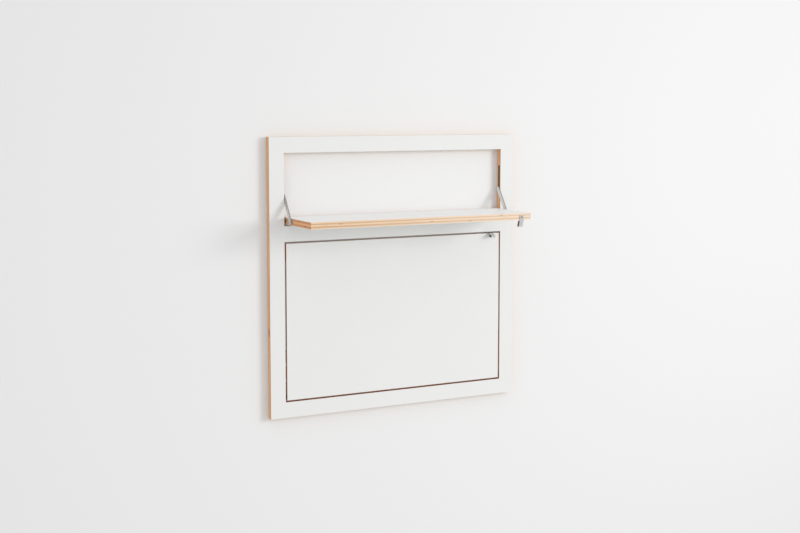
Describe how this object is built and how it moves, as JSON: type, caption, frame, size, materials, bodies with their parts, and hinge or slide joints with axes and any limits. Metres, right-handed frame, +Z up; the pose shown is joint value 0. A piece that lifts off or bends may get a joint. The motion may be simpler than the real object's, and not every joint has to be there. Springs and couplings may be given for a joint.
{
  "type": "fold-down wall desk",
  "caption": "Wall-hung laminated plywood panel with a small upper flap that folds out as a shelf and a large lower flap that folds down as a desk, on pin hinges with sliding stays.",
  "frame": {"origin": "on the wall, in the middle of the line of wall screws, 28 mm below the panel's top edge", "axes": "+X to the right as seen from the room, +Y into the wall, +Z up"},
  "size_m": [0.8, 0.2002, 0.8],
  "materials": {
    "white_laminate": "satin white laminate",
    "plywood": "oiled plywood edge",
    "steel": "satin steel",
    "black_plastic": "matt black",
    "hardwood": "oiled hardwood",
    "black_steel": "black oxide",
    "nickel": "nickel plate",
    "aluminium": "mill finish",
    "rubber": "matt rubber"
  },
  "bodies": {
    "frame": {"frame_core": "plywood", "frame_front_laminate": "white_laminate", "frame_back_laminate": "white_laminate", "frame_hanging_rail": "aluminium", "hanging_rail_screws": "steel", "wall_rail": "aluminium", "wall_pads": "rubber", "upper_catch_magnet": "nickel", "upper_left_guide_channel": "black_plastic", "upper_left_hinge_bush": "black_plastic", "upper_right_guide_channel": "black_plastic", "upper_right_hinge_bush": "black_plastic", "lower_catch_magnet": "nickel", "lower_left_guide_channel": "black_plastic", "lower_left_hinge_bush": "black_plastic", "lower_right_guide_channel": "black_plastic", "lower_right_hinge_bush": "black_plastic"},
    "upper_flap": {"upper_flap_core": "plywood", "upper_flap_front_laminate": "white_laminate", "upper_flap_back_laminate": "white_laminate", "upper_hinge_block_screws": "steel", "upper_pull_tab": "steel", "upper_pull_tab_screw": "black_steel", "upper_left_hinge_block": "hardwood", "upper_left_hinge_pin": "steel", "upper_left_strut_pivot": "steel", "upper_right_hinge_block": "hardwood", "upper_right_hinge_pin": "steel", "upper_right_strut_pivot": "steel"},
    "upper_left_strut": {"upper_left_strut": "steel", "upper_left_strut_pin": "steel"},
    "upper_left_slider": {"upper_left_slider": "black_plastic"},
    "upper_right_strut": {"upper_right_strut": "steel", "upper_right_strut_pin": "steel"},
    "upper_right_slider": {"upper_right_slider": "black_plastic"},
    "lower_flap": {"lower_flap_core": "plywood", "lower_flap_front_laminate": "white_laminate", "lower_flap_back_laminate": "white_laminate", "lower_hinge_block_screws": "steel", "lower_pull_tab": "steel", "lower_pull_tab_screw": "black_steel", "lower_left_hinge_block": "hardwood", "lower_left_hinge_pin": "steel", "lower_left_strut_pivot": "steel", "lower_right_hinge_block": "hardwood", "lower_right_hinge_pin": "steel", "lower_right_strut_pivot": "steel"},
    "lower_left_strut": {"lower_left_strut": "steel", "lower_left_strut_pin": "steel"},
    "lower_left_slider": {"lower_left_slider": "black_plastic"},
    "lower_right_strut": {"lower_right_strut": "steel", "lower_right_strut_pin": "steel"},
    "lower_right_slider": {"lower_right_slider": "black_plastic"}
  },
  "joints": [
    {"name": "upper_flap_hinge", "type": "hinge", "parent": "frame", "child": "upper_flap", "pos_m": [0, -0.012, -0.209], "axis": [-1, 0, 0], "range_deg": [0, 90]},
    {"name": "upper_left_strut_pivot", "type": "hinge", "parent": "upper_flap", "child": "upper_left_strut", "pos_m": [-0.3525, -0.06056, -0.209], "axis": [1, 0, 0], "range_deg": [0, 124.4]},
    {"name": "upper_left_slider_slide", "type": "slide", "parent": "frame", "child": "upper_left_slider", "axis": [0, 0, 1], "range_m": [0, 0.06359]},
    {"name": "upper_right_strut_pivot", "type": "hinge", "parent": "upper_flap", "child": "upper_right_strut", "pos_m": [0.3525, -0.06056, -0.209], "axis": [1, 0, 0], "range_deg": [0, 124.4]},
    {"name": "upper_right_slider_slide", "type": "slide", "parent": "frame", "child": "upper_right_slider", "axis": [0, 0, 1], "range_m": [0, 0.06359]},
    {"name": "lower_flap_hinge", "type": "hinge", "parent": "frame", "child": "lower_flap", "pos_m": [0, -0.012, -0.713], "axis": [1, 0, 0], "range_deg": [0, 90]},
    {"name": "lower_left_strut_pivot", "type": "hinge", "parent": "lower_flap", "child": "lower_left_strut", "pos_m": [-0.3525, -0.012, -0.57311], "axis": [-1, 0, 0], "range_deg": [0, 124.4]},
    {"name": "lower_left_slider_slide", "type": "slide", "parent": "frame", "child": "lower_left_slider", "axis": [0, 0, -1], "range_m": [0, 0.1832]},
    {"name": "lower_right_strut_pivot", "type": "hinge", "parent": "lower_flap", "child": "lower_right_strut", "pos_m": [0.3525, -0.012, -0.57311], "axis": [-1, 0, 0], "range_deg": [0, 124.4]},
    {"name": "lower_right_slider_slide", "type": "slide", "parent": "frame", "child": "lower_right_slider", "axis": [0, 0, -1], "range_m": [0, 0.1832]}
  ],
  "couplings": [
    {"joint": "upper_left_strut_pivot", "follows": "upper_flap_hinge", "ratio": 1.3822},
    {"joint": "upper_left_slider_slide", "follows": "upper_flap_hinge", "m_per_rad": 0.040481},
    {"joint": "upper_right_strut_pivot", "follows": "upper_flap_hinge", "ratio": 1.3822},
    {"joint": "upper_right_slider_slide", "follows": "upper_flap_hinge", "m_per_rad": 0.040481},
    {"joint": "lower_left_strut_pivot", "follows": "lower_flap_hinge", "ratio": 1.3822},
    {"joint": "lower_left_slider_slide", "follows": "lower_flap_hinge", "m_per_rad": 0.11663},
    {"joint": "lower_right_strut_pivot", "follows": "lower_flap_hinge", "ratio": 1.3822},
    {"joint": "lower_right_slider_slide", "follows": "lower_flap_hinge", "m_per_rad": 0.11663}
  ]
}
